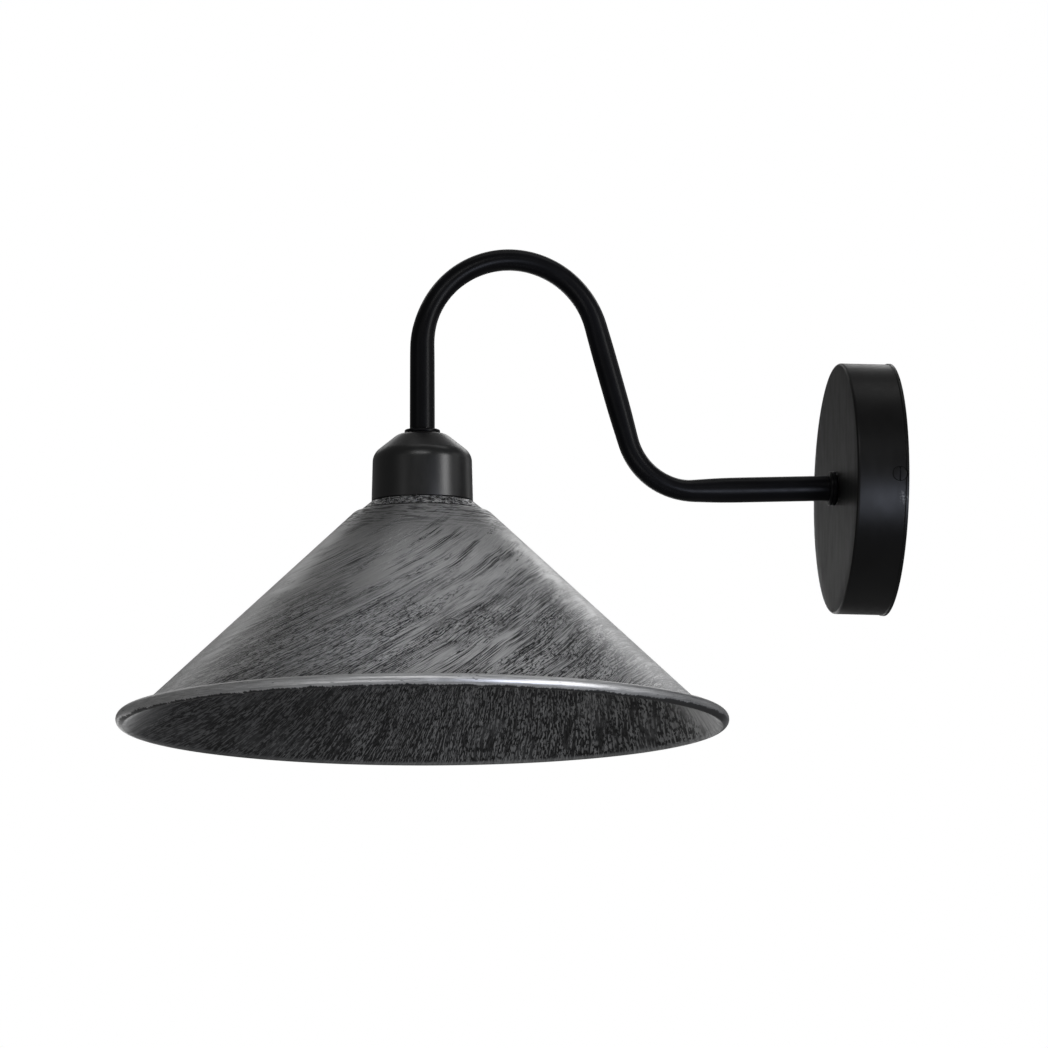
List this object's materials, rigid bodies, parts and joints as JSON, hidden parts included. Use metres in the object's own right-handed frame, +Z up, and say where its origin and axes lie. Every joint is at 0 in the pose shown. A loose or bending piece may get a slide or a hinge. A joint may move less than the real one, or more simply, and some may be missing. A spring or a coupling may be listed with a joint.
{
  "type": "swan-neck wall light",
  "caption": "Black swan-neck wall light with a round wall rose, a bent tube arm, a capped screw lampholder and a wide cone shade in brushed silver over black with a rolled rim",
  "frame": {"origin": "middle of the wall face, on the axis where the arm leaves the rose", "axes": "+Y goes into the wall, -Y out into the room along the arm, +Z up, +X to the right when facing the wall"},
  "size_m": [0.2938, 0.3729, 0.231],
  "materials": {
    "black_enamel": "black enamel, slightly glossy",
    "satin_black": "satin black enamel",
    "brushed_silver": "silver brushed unevenly over black, with fine dark scratches",
    "zinc_steel": "bright zinc plating",
    "brass": "plain brass",
    "bakelite": "moulded black, slightly glossy",
    "ceramic": "white, unglazed on top",
    "nylon": "moulded, off-white",
    "brown_pvc": "wire insulation",
    "blue_pvc": "wire insulation",
    "green_pvc": "wire insulation, green with yellow"
  },
  "bodies": {
    "fitting": {"wall_rose": "black_enamel", "side_screw_left": "black_enamel", "side_screw_right": "black_enamel", "mounting_strap": "zinc_steel", "earth_screw": "brass", "strap_earth_tag": "zinc_steel", "terminal_block": "nylon", "live_insert": "brass", "neutral_insert": "brass", "live_clamp_screw_1": "zinc_steel", "live_clamp_screw_2": "zinc_steel", "neutral_clamp_screw_1": "zinc_steel", "neutral_clamp_screw_2": "zinc_steel", "block_fixing_screw": "zinc_steel", "rose_nipple": "zinc_steel", "rose_nut": "zinc_steel", "toothed_washer": "zinc_steel", "arm_earth_tag": "zinc_steel", "arm_collar": "black_enamel", "swan_neck_arm": "black_enamel", "cap_washer": "satin_black", "lampholder_cap": "satin_black", "cap_nipple": "zinc_steel", "cap_nut": "zinc_steel", "holder_dome": "bakelite", "dome_locking_screw": "zinc_steel", "holder_core": "ceramic", "live_terminal_screw": "brass", "neutral_terminal_screw": "brass", "shell_contact": "brass", "screw_shell": "brass", "holder_skirt": "bakelite", "shade": "brushed_silver", "live_wire": "brown_pvc", "neutral_wire": "blue_pvc", "earth_wire": "green_pvc"},
    "centre_contact": {"centre_contact": "brass"},
    "shade_ring": {"shade_ring": "bakelite"}
  },
  "joints": [
    {"name": "contact_press", "type": "slide", "parent": "fitting", "child": "centre_contact", "axis": [0, 0, 1], "range_m": [0, 0.0015], "stiffness_N_per_m": 400},
    {"name": "shade_ring_turn", "type": "hinge", "parent": "fitting", "child": "shade_ring", "pos_m": [0, -0.226, -0.0165], "axis": [0, 0, -1], "range_deg": [0, 360]}
  ]
}
